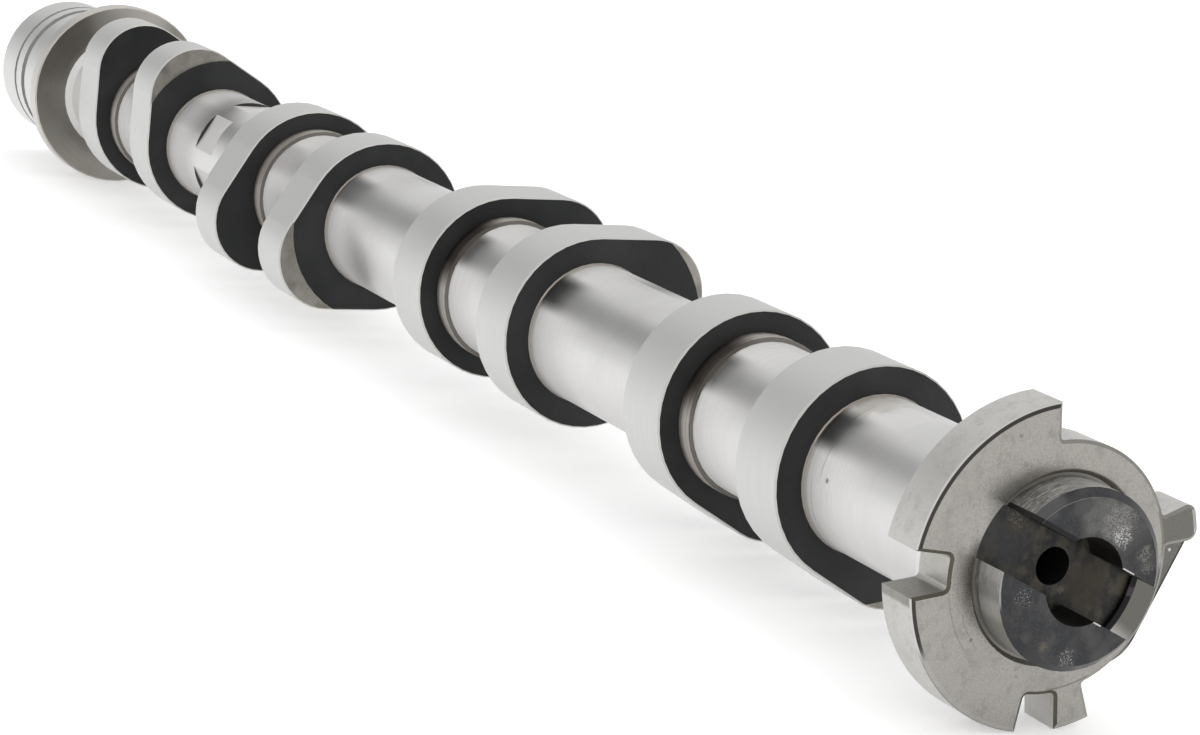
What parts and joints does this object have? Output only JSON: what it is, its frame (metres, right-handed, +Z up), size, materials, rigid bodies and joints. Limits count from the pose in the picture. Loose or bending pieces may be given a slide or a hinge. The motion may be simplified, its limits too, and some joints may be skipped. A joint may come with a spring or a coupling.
{
  "type": "camshaft",
  "caption": "Overhead camshaft with paired cams, thrust flange, grooved end journal, slotted drive end and a notched trigger wheel pressed onto it.",
  "frame": {"origin": "on the shaft's axis, where the end journal meets the thrust flange", "axes": "+X along the shaft's axis towards the slotted drive end, +Z up as the shaft lies at rest on the trigger wheel's lower notch"},
  "size_m": [0.4013, 0.0423, 0.0426],
  "materials": {
    "camshaft": "ground cams and journals, dark cam sides as cast, blued drive end",
    "trigger_wheel": "matt sintered steel"
  },
  "bodies": {
    "root": {"camshaft": "camshaft", "trigger_wheel": "trigger_wheel"}
  },
  "joints": []
}
